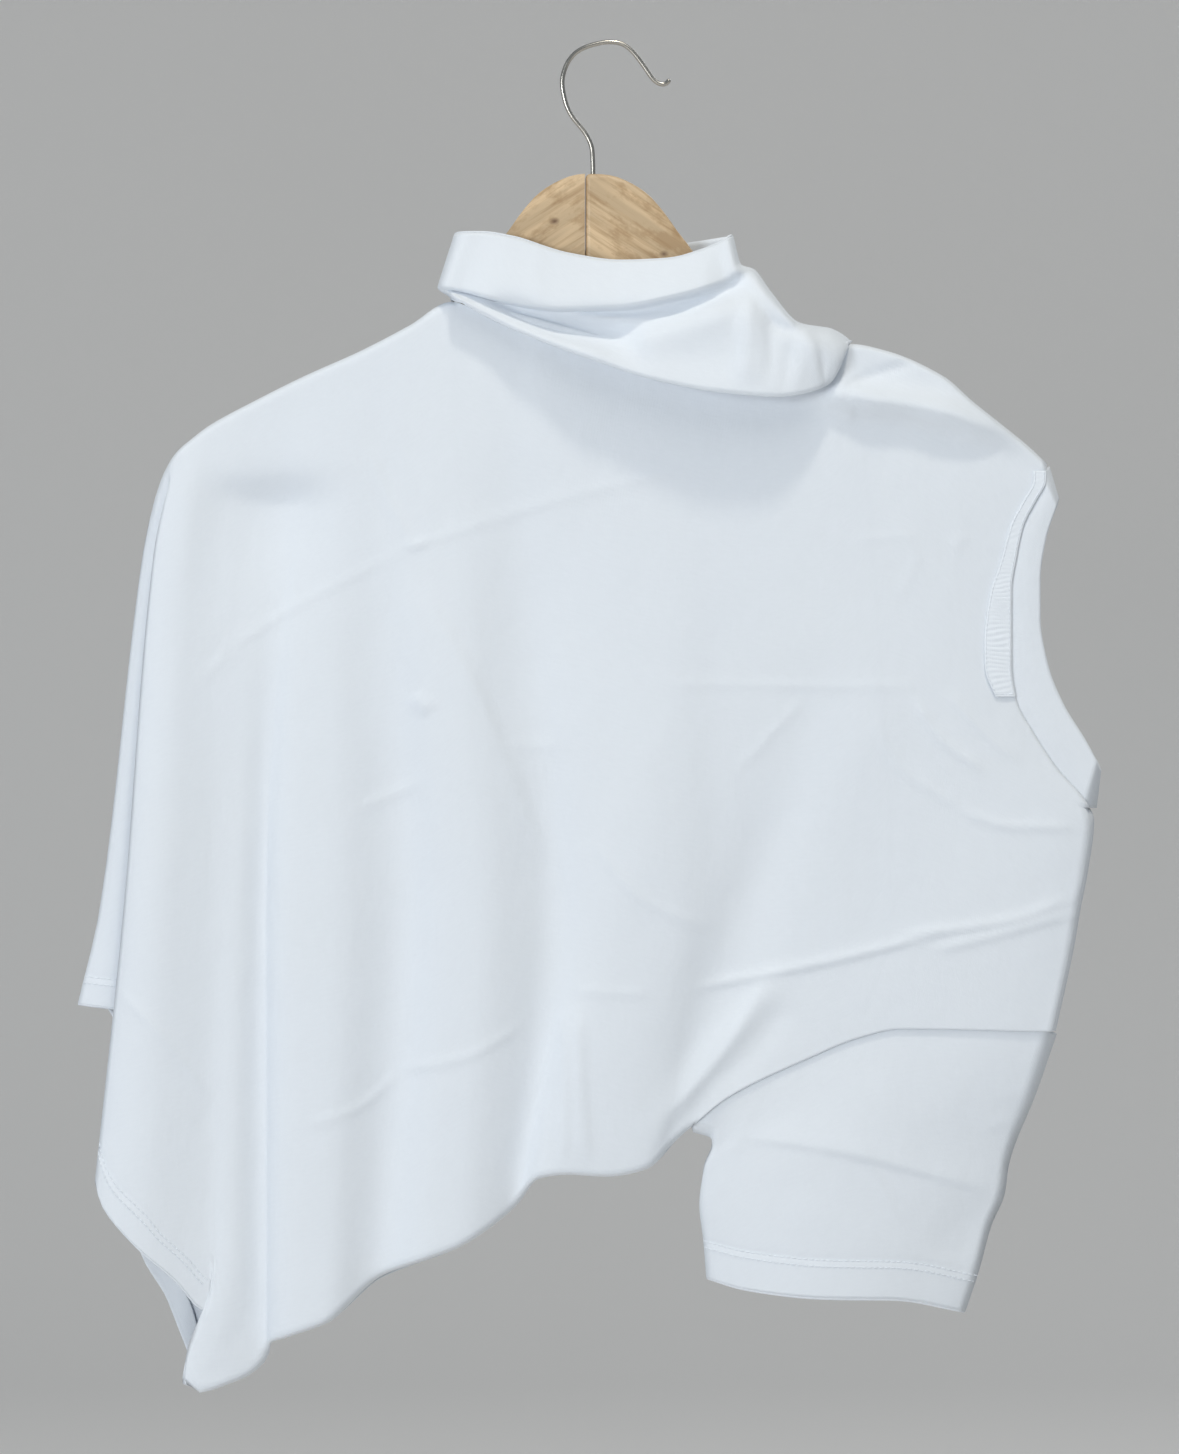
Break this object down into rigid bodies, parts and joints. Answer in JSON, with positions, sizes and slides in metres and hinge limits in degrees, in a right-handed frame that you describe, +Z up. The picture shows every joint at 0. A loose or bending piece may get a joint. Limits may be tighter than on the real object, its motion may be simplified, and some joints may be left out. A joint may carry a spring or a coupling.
{
  "type": "t-shirt on a hanger",
  "caption": "Plain short-sleeved T-shirt hung sideways on a wooden hanger whose hook comes out of one sleeve; open neck, hem and cuffs.",
  "frame": {"origin": "underside of the hook's bend, where it rests on a rod", "axes": "+Z up, +X to the viewer's right along the hanger, +Y away from the viewer through the cloth's depth; the back of the shirt faces -Y"},
  "size_m": [0.5223, 0.0552, 0.6897],
  "materials": {
    "white_jersey": "matte single jersey",
    "white_rib": "matte fine rib",
    "pale_wood": "satin, visible grain",
    "bright_steel": "bright plated wire"
  },
  "bodies": {
    "root": {"back_panel": "white_jersey", "front_panel": "white_jersey", "upper_sleeve": "white_jersey", "lower_sleeve": "white_jersey", "neck_rib": "white_rib", "neck_tape": "white_rib", "hanger_left_arm": "pale_wood", "hanger_right_arm": "pale_wood", "hanger_hook": "bright_steel"}
  },
  "joints": []
}
